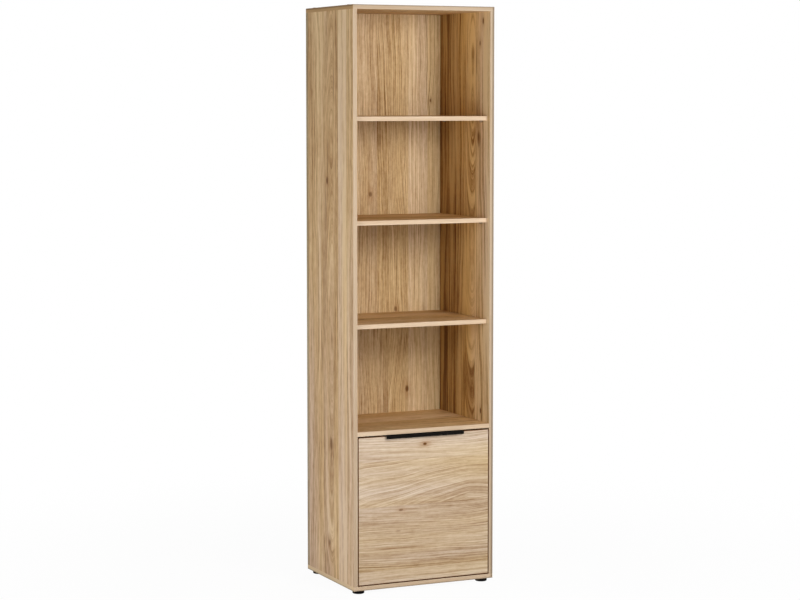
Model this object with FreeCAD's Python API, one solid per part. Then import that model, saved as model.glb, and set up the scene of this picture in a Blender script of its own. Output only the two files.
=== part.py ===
import FreeCAD, Part
import math
import os

# Tall bookcase with four open bays above one bay behind an inset door. Lengths are in millimetres.
# X runs to the right, Y to the back and Z up. The origin is on the floor, in the middle of the outer box.

# Case
case_width = 530.0
case_depth = 410.0
case_height = 1987.0
board = 15.0
edge_band = 1.0

# Back panel, held in grooves
back_thickness = 4.0
back_inset = 11.0
groove_depth = 7.0
groove_play = 0.4
back_end_play = 1.0

# Shelves. The shares place the undersides of the loose shelves in the clear height above the fixed shelf.
door_bay_height = 516.0
shelf_level_shares = (0.2443, 0.4911, 0.7378)
shelf_names = ("lower", "middle", "upper")
shelf_recess = 22.0
shelf_side_play = 0.75
shelf_back_play = 1.0
fixed_shelf_back_play = 0.5

# Shelf pins, two under each end of a loose shelf
pin_diameter = 5.0
pin_stem_length = 8.5
pin_hole_spare = 0.5
pin_head_diameter = 9.0
pin_head_length = 8.0
pin_setback = 40.0

# Screws and dowels that join the top, bottom and sides
fastener_setback = 50.0
dowel_pitch = 32.0
case_screw_length = 50.0
case_screw_core = 5.0
case_screw_shank = 7.0
case_screw_head = 10.0
case_screw_head_height = 3.5
dowel_diameter = 8.0
dowel_in_face = 10.5
dowel_in_end = 19.5
dowel_hole_spare = 0.5
fit_play = 0.05
cap_diameter = 12.0
cap_height = 1.2

# Cam fittings that hold the fixed shelf
cam_diameter = 15.0
cam_height = 12.4
cam_reach = 34.0
cam_recess_width = 2.0
cam_recess_length = 9.0
cam_recess_depth = 3.0
cam_hole_spare = 0.2
bolt_thread_diameter = 5.0
bolt_thread_length = 10.5
bolt_shank_diameter = 7.0
bolt_neck_diameter = 4.0
bolt_head_diameter = 6.6
bolt_head_length = 3.5
bolt_play = 0.5

# Feet
foot_height = 13.0
foot_diameter = 41.0
foot_inset = 30.0
foot_round = 2.5
foot_recess_diameter = 10.0
foot_recess_depth = 5.0
foot_screw_diameter = 4.0
foot_screw_head = 8.0
foot_screw_head_height = 2.5
foot_screw_bite = 10.0

# Door
door_thickness = 15.0
door_side_gap = 3.0
door_top_gap = 5.0
door_bottom_gap = 3.5

# Edge handle, bent from sheet over the door's top edge
handle_length = 294.0
handle_sheet = 2.0
handle_reach = 12.0
handle_lip_drop = 8.0
handle_leg_drop = 24.0
handle_bend = 1.6
handle_hem = 0.6
handle_screw_shares = (-0.8, 0.0, 0.8)
handle_screw_drop = 14.0
small_screw_diameter = 3.5
small_screw_bite = 10.0
small_screw_head = 7.0
small_screw_head_height = 2.2

# Door stops on the left side panel
stop_width = 8.0
stop_depth = 10.0
stop_height = 12.0
stop_setback = 60.0
stop_play = 0.3

# Cup hinges with one pivot each. The axis lies inside the cup.
hinge_setback = 90.0
cup_diameter = 35.0
cup_front_wall = 2.4
cup_wall = 1.2
cup_floor = 0.7
cup_edge = 3.0
cup_bore_spare = 0.1
cup_flange = 1.2
cup_flange_margin = 2.0
cup_wing_length = 62.0
cup_wing_width = 17.0
cup_screw_pitch = 48.0
swing_play = 1.0
pivot_diameter = 3.0
pivot_end_cover = 0.6
eye_wall = 1.7
neck_reach = 15.0
neck_clear = 7.0
neck_shoulder_in = 2.0
neck_shoulder_back = 13.0
arm_thickness = 3.0
arm_width = 13.0
arm_channel_height = 9.0
arm_wall = 1.5
arm_start = 21.0
arm_length = 52.0
arm_ramp = 6.0
plate_setback = 37.0
plate_base = 3.0
plate_wing_length = 48.0
plate_wing_width = 14.0
plate_screw_pitch = 32.0
plate_screw_diameter = 5.0
plate_screw_bite = 10.0
plate_screw_head = 8.5
plate_screw_head_height = 2.2
rib_play = 0.2
arm_screw_diameter = 5.0
arm_screw_head = 8.0
arm_screw_head_height = 2.0
arm_screw_setback = 34.0
arm_screw_bite = 5.0

# Angle bracket that ties the bookcase to the wall
bracket_width = 36.0
bracket_rise = 14.0
bracket_sheet = 1.5
bracket_hole_diameter = 5.5
bracket_hole_height = 8.0
bracket_screw_pitch = 20.0
bracket_screw_wall = 3.0
bracket_screw_diameter = 4.0
bracket_screw_bite = 12.0
bracket_screw_head = 7.5
bracket_screw_head_height = 2.2
bracket_margin = 3.0

# One overrun for every cut that opens through a face
overrun = 1.0

# Planes that the pieces share
outer_x = case_width / 2
inner_x = outer_x - board
mid_side_x = outer_x - board / 2
front_y = handle_reach - (case_depth + handle_reach) / 2
rear_y = front_y + case_depth
back_rear_y = rear_y - back_inset
back_front_y = back_rear_y - back_thickness
case_bottom = foot_height
case_top = case_bottom + case_height
bottom_top = case_bottom + board
top_under = case_top - board
fixed_under = bottom_top + door_bay_height
fixed_top = fixed_under + board
clear_height = top_under - fixed_top
door_left = door_side_gap - inner_x
door_right = inner_x - door_side_gap
door_bottom = bottom_top + door_bottom_gap
door_top = fixed_under - door_top_gap
door_back_y = front_y + door_thickness
door_middle_y = front_y + door_thickness / 2
fastener_lines = (front_y + fastener_setback, back_front_y - fastener_setback)
dowel_lines = (fastener_lines[0] + dowel_pitch, fastener_lines[1] - dowel_pitch)
hinge_levels = (door_bottom + hinge_setback, door_top - hinge_setback)
stop_levels = (door_bottom + stop_setback, door_top - stop_setback)
groove_front_y = back_front_y - groove_play / 2
groove_rear_y = back_rear_y + groove_play / 2
bracket_screw_y = groove_front_y - bracket_screw_wall - bracket_screw_diameter / 2
bracket_front_y = bracket_screw_y - bracket_screw_head / 2 - bracket_margin

# The door turns about the middle of its thickness. Its corners pass the side panel with the swing play.
swing_room = door_side_gap - swing_play
axis_from_edge = ((door_thickness / 2) ** 2 - swing_room ** 2) / (2 * swing_room)
axis_x = door_right - axis_from_edge
cup_bore_depth = door_thickness - cup_front_wall
cup_depth = cup_bore_depth - cup_bore_spare
cup_centre_x = door_right - cup_edge - cup_diameter / 2
plate_y = door_back_y + plate_setback
arm_start_y = door_back_y + arm_start
arm_end_y = arm_start_y + arm_length
arm_screw_y = arm_start_y + arm_screw_setback
arm_roof_x = inner_x - plate_base - arm_channel_height

right = FreeCAD.Vector(1, 0, 0)
back = FreeCAD.Vector(0, 1, 0)
up = FreeCAD.Vector(0, 0, 1)


def box(x, y, z):
    """A block between two values on each axis, given in either order."""
    low = FreeCAD.Vector(min(x), min(y), min(z))
    high = FreeCAD.Vector(max(x), max(y), max(z))
    size = high - low
    return Part.makeBox(size.x, size.y, size.z, low)


def rod(diameter, start, way, length):
    """A round bar from a point along a direction."""
    return Part.makeCylinder(diameter / 2, length, FreeCAD.Vector(*start), way)


def cone(wide, narrow, start, way, length):
    """A countersunk form that narrows along a direction."""
    return Part.makeCone(wide / 2, narrow / 2, length, FreeCAD.Vector(*start), way)


def joined(shapes):
    """One solid out of touching shapes."""
    whole = shapes[0]
    for shape in shapes[1:]:
        whole = whole.fuse(shape)
    return whole.removeSplitter()


def without(shape, cuts):
    """A shape with every cut taken out of it."""
    for cut in cuts:
        shape = shape.cut(cut)
    return shape


def rounded(shape, radius, wanted):
    """A shape with a fillet on each edge that the test picks."""
    return shape.makeFillet(radius, [edge for edge in shape.Edges if wanted(edge)])


def save(name, shapes):
    """Write one node, made of one solid or of a group of separate ones."""
    shapes = shapes if isinstance(shapes, list) else [shapes]
    solids = [solid for shape in shapes for solid in shape.Solids]
    Part.makeCompound(solids).exportStep("parts/" + name + ".step")


def loose_shelf_level(share):
    """Underside of a loose shelf."""
    return fixed_top + share * clear_height


def pin_lines():
    """Depths of the front and rear shelf pins."""
    shelf_front = front_y + shelf_recess
    shelf_rear = back_front_y - shelf_back_play
    return (shelf_front + pin_setback, shelf_rear - pin_setback)


def case_screw(x, y, face, way):
    """Countersunk screw through a panel's face into the end of a side panel."""
    head = cone(case_screw_head, case_screw_shank, (x, y, face), up * way, case_screw_head_height)
    neck_start = face + way * case_screw_head_height
    neck = rod(case_screw_shank, (x, y, neck_start), up * way, board - case_screw_head_height)
    core_start = face + way * board
    core = rod(case_screw_core, (x, y, core_start), up * way, case_screw_length - board)
    return joined([head, neck, core])


def case_screw_cuts(x, y, face, way):
    """Clearance in the panel for one case screw."""
    wide = case_screw_head + 2 * fit_play
    narrow = case_screw_shank + 2 * fit_play
    head = cone(wide, narrow, (x, y, face), up * way, case_screw_head_height)
    mouth = rod(wide, (x, y, face), up * -way, overrun)
    shank = rod(narrow, (x, y, face), up * way, board + overrun)
    return [head, mouth, shank]


def dowel_holes_in_panel(x, face, way):
    """Blind dowel holes in the face of the top or bottom panel, which point the way given."""
    depth = dowel_in_face + dowel_hole_spare
    diameter = dowel_diameter + 2 * fit_play
    return [rod(diameter, (x, y, face - way * overrun), up * way, depth + overrun) for y in dowel_lines]


def back_groove_in_panel(face, way):
    """Stopped groove for the back panel's upper or lower edge."""
    x = (-inner_x - groove_depth, inner_x + groove_depth)
    return box(x, (groove_front_y, groove_rear_y), (face - way * overrun, face + way * groove_depth))


def end_panel(outer_face, inner_face, way):
    """Core of the top or bottom panel. The way points from its inner face into the board."""
    half_width = outer_x - edge_band
    core = box((-half_width, half_width), (front_y + edge_band, rear_y), (outer_face, inner_face))
    cuts = [back_groove_in_panel(inner_face, way)]
    for x in (-mid_side_x, mid_side_x):
        cuts += dowel_holes_in_panel(x, inner_face, way)
        for y in fastener_lines:
            cuts += case_screw_cuts(x, y, outer_face, -way)
    return without(core, cuts)


def end_panel_bands(low, high):
    """Edge bands on the front and on both ends of the top or bottom panel."""
    front = box((-outer_x, outer_x), (front_y, front_y + edge_band), (low, high))
    left = box((-outer_x, -outer_x + edge_band), (front_y + edge_band, rear_y), (low, high))
    return [front, left, left.mirror(FreeCAD.Vector(0, 0, 0), right)]


def bracket_screw_places():
    return [(x, bracket_screw_y) for x in (-bracket_screw_pitch / 2, bracket_screw_pitch / 2)]


def top_panel():
    holes = [rod(bracket_screw_diameter, (x, y, case_top + overrun), up * -1, bracket_screw_bite + overrun)
             for x, y in bracket_screw_places()]
    return without(end_panel(case_top, top_under, 1), holes)


def bottom_panel():
    panel = end_panel(case_bottom, bottom_top, -1)
    holes = [rod(foot_screw_diameter, (x, y, case_bottom - overrun), up, foot_screw_bite + overrun)
             for x, y in foot_places()]
    return without(panel, holes)


def side_panel(hand):
    """Core of a side panel. The hand is -1 on the left and 1 on the right."""
    inner = hand * inner_x
    into = right * hand
    core = box((inner, hand * outer_x), (front_y + edge_band, rear_y), (bottom_top, top_under))
    groove_x = (inner - hand * overrun, inner + hand * groove_depth)
    groove = box(groove_x, (groove_front_y, groove_rear_y), (bottom_top - overrun, top_under + overrun))
    cuts = [groove]
    dowel_hole = dowel_diameter + 2 * fit_play
    end_depth = dowel_in_end + dowel_hole_spare
    screw_depth = case_screw_length - board + dowel_hole_spare
    for face, way in ((bottom_top, 1), (top_under, -1)):
        start = face - way * overrun
        for y in dowel_lines:
            cuts.append(rod(dowel_hole, (hand * mid_side_x, y, start), up * way, end_depth + overrun))
        for y in fastener_lines:
            cuts.append(rod(case_screw_core + 2 * fit_play, (hand * mid_side_x, y, start), up * way,
                            screw_depth + overrun))
    shelf_middle_z = fixed_under + board / 2
    mouth = inner - hand * overrun
    for y in fastener_lines:
        depth = bolt_thread_length + dowel_hole_spare + overrun
        cuts.append(rod(bolt_thread_diameter + 2 * fit_play, (mouth, y, shelf_middle_z), into, depth))
    for y in dowel_lines:
        depth = dowel_in_face + dowel_hole_spare + overrun
        cuts.append(rod(dowel_hole, (mouth, y, shelf_middle_z), into, depth))
    pin_depth = pin_stem_length + pin_hole_spare + overrun
    for share in shelf_level_shares:
        z = loose_shelf_level(share) - pin_diameter / 2
        for y in pin_lines():
            cuts.append(rod(pin_diameter + 2 * fit_play, (mouth, y, z), into, pin_depth))
    if hand > 0:
        for z in hinge_levels:
            for offset in (-plate_screw_pitch / 2, plate_screw_pitch / 2):
                start = (mouth, plate_y, z + offset)
                cuts.append(rod(plate_screw_diameter, start, into, plate_screw_bite + overrun))
    else:
        for z in stop_levels:
            start = (mouth, door_back_y + stop_play + stop_depth / 2, z)
            cuts.append(rod(pin_diameter + 2 * fit_play, start, into, pin_depth))
    return without(core, cuts)


def side_panel_band(hand):
    return box((hand * inner_x, hand * outer_x), (front_y, front_y + edge_band), (bottom_top, top_under))


def case_screws(face, way):
    """The four screws through one end panel, which point the way given."""
    return [case_screw(x, y, face, way) for x in (-mid_side_x, mid_side_x) for y in fastener_lines]


def screw_caps():
    """Low domed caps over the screw heads in the top panel."""
    caps = []
    for x in (-mid_side_x, mid_side_x):
        for y in fastener_lines:
            cap = rod(cap_diameter, (x, y, case_top), up, cap_height)
            caps.append(rounded(cap, cap_height / 2, lambda edge: on_level(edge, case_top + cap_height)))
    return caps


def on_level(edge, level):
    """Whether a whole edge lies at one height."""
    limits = edge.BoundBox
    return abs(limits.ZMin - level) < fit_play and abs(limits.ZMax - level) < fit_play


def wood_dowels():
    """Dowels in the ends of both side panels and of the fixed shelf."""
    length = dowel_in_face + dowel_in_end
    dowels = []
    for hand in (-1, 1):
        for y in dowel_lines:
            x = hand * mid_side_x
            dowels.append(rod(dowel_diameter, (x, y, bottom_top - dowel_in_face), up, length))
            dowels.append(rod(dowel_diameter, (x, y, top_under + dowel_in_face), up * -1, length))
            start = (hand * (inner_x + dowel_in_face), y, fixed_under + board / 2)
            dowels.append(rod(dowel_diameter, start, right * -hand, length))
    return dowels


def back_panel():
    half_width = inner_x + groove_depth - back_end_play
    levels = (bottom_top - groove_depth, top_under + groove_depth - back_end_play)
    return box((-half_width, half_width), (back_front_y, back_rear_y), levels)


def fixed_shelf():
    """Core of the fixed shelf with its cam and dowel holes."""
    rear = back_front_y - fixed_shelf_back_play
    core = box((-inner_x, inner_x), (front_y + edge_band, rear), (fixed_under, fixed_top))
    middle_z = fixed_under + board / 2
    cuts = []
    for hand in (-1, 1):
        inward = right * -hand
        mouth = hand * (inner_x + overrun)
        for y in fastener_lines:
            cam_x = hand * (inner_x - cam_reach)
            depth = cam_height + cam_hole_spare + overrun
            cuts.append(rod(cam_diameter + 2 * fit_play, (cam_x, y, fixed_under - overrun), up, depth))
            channel = bolt_shank_diameter + 2 * bolt_play
            cuts.append(rod(channel, (mouth, y, middle_z), inward, cam_reach + overrun))
        for y in dowel_lines:
            depth = dowel_in_end + dowel_hole_spare + overrun
            cuts.append(rod(dowel_diameter + 2 * fit_play, (mouth, y, middle_z), inward, depth))
    return without(core, cuts)


def fixed_shelf_band():
    return box((-inner_x, inner_x), (front_y, front_y + edge_band), (fixed_under, fixed_top))


def cam_housings():
    """Round cams in the underside of the fixed shelf, each with the mouth that takes its bolt."""
    cams = []
    for hand in (-1, 1):
        for y in fastener_lines:
            x = hand * (inner_x - cam_reach)
            body = rod(cam_diameter, (x, y, fixed_under), up, cam_height)
            start = (hand * (inner_x - cam_reach + cam_diameter), y, fixed_under + board / 2)
            mouth_diameter = bolt_head_diameter + 2 * bolt_play
            mouth = rod(mouth_diameter, start, right * -hand, cam_diameter + bolt_play)
            half_width = cam_recess_width / 2
            half_length = cam_recess_length / 2
            recess_z = (fixed_under - overrun, fixed_under + cam_recess_depth)
            bar = box((x - half_length, x + half_length), (y - half_width, y + half_width), recess_z)
            cross = box((x - half_width, x + half_width), (y - half_length, y + half_length), recess_z)
            cams.append(without(body, [mouth, bar, cross]))
    return cams


def cam_bolts():
    """Bolts from the side panels into the cams."""
    bolts = []
    shank_end = cam_reach - cam_diameter / 2 - bolt_play
    head_start = cam_reach - bolt_head_length
    for hand in (-1, 1):
        inward = right * -hand
        for y in fastener_lines:
            z = fixed_under + board / 2
            thread = rod(bolt_thread_diameter, (hand * (inner_x + bolt_thread_length), y, z), inward,
                         bolt_thread_length)
            shank = rod(bolt_shank_diameter, (hand * inner_x, y, z), inward, shank_end)
            neck = rod(bolt_neck_diameter, (hand * inner_x, y, z), inward, cam_reach)
            head = rod(bolt_head_diameter, (hand * (inner_x - head_start), y, z), inward, bolt_head_length)
            bolts.append(joined([thread, shank, neck, head]))
    return bolts


def loose_shelf(share):
    """Core of a loose shelf."""
    level = loose_shelf_level(share)
    half_width = inner_x - shelf_side_play
    y = (front_y + shelf_recess + edge_band, back_front_y - shelf_back_play)
    return box((-half_width, half_width), y, (level, level + board))


def loose_shelf_band(share):
    level = loose_shelf_level(share)
    half_width = inner_x - shelf_side_play
    y = (front_y + shelf_recess, front_y + shelf_recess + edge_band)
    return box((-half_width, half_width), y, (level, level + board))


def shelf_pins():
    """Pins with a flat on top, which the loose shelves rest on."""
    pins = []
    for share in shelf_level_shares:
        level = loose_shelf_level(share)
        z = level - pin_diameter / 2
        for hand in (-1, 1):
            inward = right * -hand
            for y in pin_lines():
                stem = rod(pin_diameter, (hand * (inner_x + pin_stem_length), y, z), inward,
                           pin_stem_length + pin_head_length)
                head = rod(pin_head_diameter, (hand * inner_x, y, z), inward, pin_head_length)
                reach = pin_head_diameter
                flat = box((hand * inner_x, hand * (inner_x - 2 * pin_head_length)), (y - reach, y + reach),
                           (level, level + reach))
                pins.append(joined([stem, head]).cut(flat))
    return pins


def foot_places():
    """Centres of the four feet, front left, front right, rear left and rear right."""
    x = outer_x - foot_inset
    front = front_y + foot_inset
    rear = rear_y - foot_inset
    return ((-x, front), (x, front), (-x, rear), (x, rear))


def foot(x, y):
    body = rod(foot_diameter, (x, y, 0), up, foot_height)
    body = rounded(body, foot_round, lambda edge: on_level(edge, 0))
    recess = rod(foot_recess_diameter, (x, y, -overrun), up, foot_recess_depth + overrun)
    hole = rod(foot_screw_diameter + 2 * fit_play, (x, y, 0), up, foot_height + overrun)
    return without(body, [recess, hole])


def foot_screws():
    screws = []
    for x, y in foot_places():
        head_z = foot_recess_depth - foot_screw_head_height
        head = rod(foot_screw_head, (x, y, head_z), up, foot_screw_head_height)
        shaft = rod(foot_screw_diameter, (x, y, head_z), up,
                    foot_screw_head_height + foot_height - foot_recess_depth + foot_screw_bite)
        screws.append(joined([head, shaft]))
    return screws


def door_panel():
    """Core of the door with its cup bores and screw holes."""
    core = box((door_left + edge_band, door_right - edge_band), (front_y, door_back_y),
               (door_bottom + edge_band, door_top - edge_band))
    cuts = []
    for z in hinge_levels:
        mouth = (cup_centre_x, door_back_y + overrun, z)
        bore = cup_diameter + cup_bore_spare
        cuts.append(rod(bore, mouth, back * -1, cup_bore_depth + overrun))
        for offset in (-cup_screw_pitch / 2, cup_screw_pitch / 2):
            start = (cup_centre_x, door_back_y + overrun, z + offset)
            cuts.append(rod(small_screw_diameter, start, back * -1, small_screw_bite + overrun))
    for x in handle_screw_places():
        start = (x, door_back_y + overrun, door_top - handle_screw_drop)
        cuts.append(rod(small_screw_diameter, start, back * -1, small_screw_bite + overrun))
    return without(core, cuts)


def door_bands():
    """Edge bands on the four edges of the door."""
    y = (front_y, door_back_y)
    across = (door_left, door_right)
    upright = (door_bottom + edge_band, door_top - edge_band)
    return [box(across, y, (door_bottom, door_bottom + edge_band)),
            box(across, y, (door_top - edge_band, door_top)),
            box((door_left, door_left + edge_band), y, upright),
            box((door_right - edge_band, door_right), y, upright)]


def runs_along(edge, places):
    """Whether an edge runs along X at one of the places given in Y and Z."""
    limits = edge.BoundBox
    if limits.YLength + limits.ZLength > fit_play:
        return False
    return any(math.hypot(limits.YMin - y, limits.ZMin - z) < fit_play for y, z in places)


def handle_screw_places():
    return [share * handle_length / 2 for share in handle_screw_shares]


def handle():
    """Sheet bent over the door's top edge, with a lip in front and a screwed leg behind."""
    lip_y = front_y - handle_reach
    leg_y = door_back_y + handle_sheet
    web_z = door_top + handle_sheet
    lip_z = door_top - handle_lip_drop
    leg_z = door_top - handle_leg_drop
    outline = ((lip_y, lip_z), (lip_y, web_z), (leg_y, web_z), (leg_y, leg_z), (door_back_y, leg_z),
               (door_back_y, door_top), (lip_y + handle_sheet, door_top), (lip_y + handle_sheet, lip_z))
    points = [FreeCAD.Vector(-handle_length / 2, y, z) for y, z in outline]
    profile = Part.Face(Part.makePolygon(points + points[:1]))
    sheet = profile.extrude(right * handle_length)

    bends = (outline[1], outline[2])
    hems = (outline[0], outline[3], outline[4], outline[7])
    sheet = rounded(sheet, handle_bend, lambda edge: runs_along(edge, bends))
    sheet = rounded(sheet, handle_hem, lambda edge: runs_along(edge, hems))
    hole = small_screw_diameter + 2 * fit_play
    hole_z = door_top - handle_screw_drop
    holes = [rod(hole, (x, door_back_y - overrun, hole_z), back, handle_sheet + 2 * overrun)
             for x in handle_screw_places()]
    return without(sheet, holes)


def small_screw(x, y, z):
    """Pan-head screw driven towards the front, whose head rests on the plane at y."""
    head = rod(small_screw_head, (x, y, z), back, small_screw_head_height)
    head = rounded(head, small_screw_head_height / 2, lambda edge: abs(edge.BoundBox.YMin - y) > fit_play)
    shaft = rod(small_screw_diameter, (x, y, z), back * -1, y - door_back_y + small_screw_bite)
    return joined([head, shaft])


def handle_screws():
    seat_y = door_back_y + handle_sheet
    return [small_screw(x, seat_y, door_top - handle_screw_drop) for x in handle_screw_places()]


def door_stops():
    """Stops on the left side panel, just behind the closed door."""
    stops = []
    y = door_back_y + stop_play
    half = stop_height / 2
    for z in stop_levels:
        block = box((-inner_x, -inner_x + stop_width), (y, y + stop_depth), (z - half, z + half))
        stem = rod(pin_diameter, (-inner_x - pin_stem_length, y + stop_depth / 2, z), right,
                   pin_stem_length + stop_width / 2)
        stops.append(joined([block, stem]))
    return stops


def hinge_cup(z):
    """Cup pressed into the door, with its screwed flange."""
    x = cup_centre_x
    inner = cup_diameter - 2 * cup_wall
    body = rod(cup_diameter, (x, door_back_y - cup_depth, z), back, cup_depth + cup_flange)
    flange = rod(cup_diameter + 2 * cup_flange_margin, (x, door_back_y, z), back, cup_flange)
    half_wing = cup_wing_width / 2
    wing = box((x - half_wing, x + half_wing), (door_back_y, door_back_y + cup_flange),
               (z - cup_wing_length / 2, z + cup_wing_length / 2))
    wing = rounded(wing, cup_flange_margin, lambda edge: edge.BoundBox.YLength > cup_flange - fit_play)
    hollow = rod(inner, (x, door_back_y - cup_depth + cup_floor, z), back, cup_depth + cup_flange)
    pivot = rod(pivot_diameter, (axis_x, door_middle_y, z - cup_diameter / 2), up, cup_diameter)
    cuts = [hollow, pivot]
    for offset in (-cup_screw_pitch / 2, cup_screw_pitch / 2):
        cuts.append(rod(small_screw_diameter + 2 * fit_play, (x, door_back_y - overrun, z + offset), back,
                        cup_flange + 2 * overrun))
    return without(joined([body, flange, wing]), cuts)


def hinge_cup_screws():
    seat_y = door_back_y + cup_flange
    places = [z + offset for z in hinge_levels for offset in (-cup_screw_pitch / 2, cup_screw_pitch / 2)]
    return [small_screw(cup_centre_x, seat_y, z) for z in places]


def hinge_pivot(z):
    """Pin across the cup, let into its wall at both ends."""
    from_middle = abs(axis_x - cup_centre_x)
    half_chord = math.sqrt((cup_diameter / 2) ** 2 - (from_middle + pivot_diameter / 2) ** 2)
    half_length = half_chord - pivot_end_cover
    return rod(pivot_diameter, (axis_x, door_middle_y, z - half_length), up, 2 * half_length)


def bar(start, end, z, thickness, width):
    """Flat bar between two points in plan, with half-round ends."""
    run = FreeCAD.Vector(end[0] - start[0], end[1] - start[1], 0)
    straight = Part.makeBox(run.Length, thickness, width, FreeCAD.Vector(0, -thickness / 2, z - width / 2))
    turn = math.degrees(math.atan2(run.y, run.x))
    straight.Placement = FreeCAD.Placement(FreeCAD.Vector(start[0], start[1], 0), FreeCAD.Rotation(up, turn))
    ends = [rod(thickness, (x, y, z - width / 2), up, width) for x, y in (start, end)]
    return joined([straight] + ends)


def hinge_arm(z):
    """Arm from the side panel's plate round the door's edge to the pivot in the cup."""
    elbow = (axis_x - neck_reach, door_middle_y)
    outside = (elbow[0], door_back_y + neck_clear)
    shoulder = (axis_x - neck_shoulder_in, door_back_y + neck_shoulder_back)
    seat = (arm_roof_x + arm_thickness / 2, arm_start_y)
    path = ((axis_x, door_middle_y), elbow, outside, shoulder, seat)
    neck = [bar(start, end, z, arm_thickness, arm_width) for start, end in zip(path[:-1], path[1:])]
    eye = rod(pivot_diameter + 2 * eye_wall, (axis_x, door_middle_y, z - arm_width / 2), up, arm_width)
    half = arm_width / 2
    channel_x = (arm_roof_x, inner_x - plate_base - rib_play)
    channel = box(channel_x, (arm_start_y, arm_end_y), (z - half, z + half))
    hollow = box((arm_roof_x + arm_wall, inner_x), (arm_start_y + arm_ramp, arm_end_y + overrun),
                 (z - half + arm_wall, z + half - arm_wall))
    bore = rod(pivot_diameter + 2 * fit_play, (axis_x, door_middle_y, z - arm_width), up, 2 * arm_width)
    screw_hole = rod(arm_screw_diameter + 2 * fit_play, (arm_roof_x - overrun, arm_screw_y, z), right,
                     arm_wall + 2 * overrun)
    return without(joined(neck + [eye, channel.cut(hollow)]), [bore, screw_hole])


def hinge_plate(z):
    """Plate screwed to the side panel, with a rib that carries the arm."""
    base_x = inner_x - plate_base
    wing_front = plate_y - plate_wing_width / 2
    half_wing = plate_wing_length / 2
    wing = box((base_x, inner_x), (wing_front, wing_front + plate_wing_width), (z - half_wing, z + half_wing))
    wing = rounded(wing, plate_base, lambda edge: edge.BoundBox.XLength > plate_base - fit_play)
    base = box((base_x, inner_x), (wing_front, arm_end_y), (z - arm_width / 2, z + arm_width / 2))
    rib_half = arm_width / 2 - arm_wall - rib_play
    rib_top = arm_roof_x + arm_wall + rib_play
    rib = box((rib_top, base_x), (wing_front, arm_end_y), (z - rib_half, z + rib_half))
    screw_hole = rod(arm_screw_diameter, (rib_top - overrun, arm_screw_y, z), right, arm_screw_bite + overrun)
    cuts = [screw_hole]
    wing_hole = plate_screw_diameter + 2 * fit_play
    for offset in (-plate_screw_pitch / 2, plate_screw_pitch / 2):
        start = (base_x - overrun, plate_y, z + offset)
        cuts.append(rod(wing_hole, start, right, plate_base + 2 * overrun))
    return without(joined([wing, base, rib]), cuts)


def hinge_plate_screws():
    screws = []
    x = inner_x - plate_base
    for z in hinge_levels:
        for offset in (-plate_screw_pitch / 2, plate_screw_pitch / 2):
            start = (x, plate_y, z + offset)
            head = rod(plate_screw_head, start, right * -1, plate_screw_head_height)
            head = rounded(head, plate_screw_head_height / 2, lambda edge: edge.BoundBox.XMax < x - fit_play)
            shaft = rod(plate_screw_diameter, start, right, plate_base + plate_screw_bite)
            screws.append(joined([head, shaft]))
    return screws


def hinge_arm_screws():
    screws = []
    for z in hinge_levels:
        start = (arm_roof_x, arm_screw_y, z)
        head = rod(arm_screw_head, start, right * -1, arm_screw_head_height)
        shaft = rod(arm_screw_diameter, start, right, arm_wall + rib_play + arm_screw_bite)
        screws.append(joined([head, shaft]))
    return screws


def wall_bracket():
    """Angle on top of the case, whose upright leg is level with the rear edges."""
    half = bracket_width / 2
    flat = box((-half, half), (bracket_front_y, rear_y), (case_top, case_top + bracket_sheet))
    leg = box((-half, half), (rear_y - bracket_sheet, rear_y), (case_top, case_top + bracket_rise))
    hole_start = (0, rear_y - bracket_sheet - overrun, case_top + bracket_hole_height)
    cuts = [rod(bracket_hole_diameter, hole_start, back, bracket_sheet + 2 * overrun)]
    for x, y in bracket_screw_places():
        cuts.append(rod(bracket_screw_diameter + 2 * fit_play, (x, y, case_top - overrun), up,
                        bracket_sheet + 2 * overrun))
    return without(joined([flat, leg]), cuts)


def bracket_screws():
    screws = []
    for x, y in bracket_screw_places():
        start = (x, y, case_top + bracket_sheet)
        head = rod(bracket_screw_head, start, up, bracket_screw_head_height)
        shaft = rod(bracket_screw_diameter, start, up * -1, bracket_sheet + bracket_screw_bite)
        screws.append(joined([head, shaft]))
    return screws


os.makedirs("parts", exist_ok=True)

save("top_panel", top_panel())
save("top_edge_bands", end_panel_bands(top_under, case_top))
save("bottom_panel", bottom_panel())
save("bottom_edge_bands", end_panel_bands(case_bottom, bottom_top))
for name, hand in (("left", -1), ("right", 1)):
    save("side_panel_" + name, side_panel(hand))
    save("side_edge_band_" + name, side_panel_band(hand))
save("back_panel", back_panel())
save("fixed_shelf", fixed_shelf())
save("fixed_shelf_edge_band", fixed_shelf_band())
for name, share in zip(shelf_names, shelf_level_shares):
    save("shelf_" + name, loose_shelf(share))
    save("shelf_edge_band_" + name, loose_shelf_band(share))
save("shelf_pins", shelf_pins())

save("wood_dowels", wood_dowels())
save("case_screws_top", case_screws(case_top, -1))
save("case_screws_bottom", case_screws(case_bottom, 1))
save("screw_caps", screw_caps())
save("cam_housings", cam_housings())
save("cam_bolts", cam_bolts())

for name, place in zip(("front_left", "front_right", "rear_left", "rear_right"), foot_places()):
    save("foot_" + name, foot(*place))
save("foot_screws", foot_screws())
save("wall_bracket", wall_bracket())
save("wall_bracket_screws", bracket_screws())

save("door_panel", door_panel())
save("door_edge_bands", door_bands())
save("handle", handle())
save("handle_screws", handle_screws())
save("door_stops", door_stops())

for name, level in zip(("lower", "upper"), hinge_levels):
    save("hinge_cup_" + name, hinge_cup(level))
    save("hinge_pivot_" + name, hinge_pivot(level))
    save("hinge_arm_" + name, hinge_arm(level))
    save("hinge_plate_" + name, hinge_plate(level))
save("hinge_cup_screws", hinge_cup_screws())
save("hinge_plate_screws", hinge_plate_screws())
save("hinge_arm_screws", hinge_arm_screws())
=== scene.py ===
import math
from typing import NamedTuple

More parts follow.
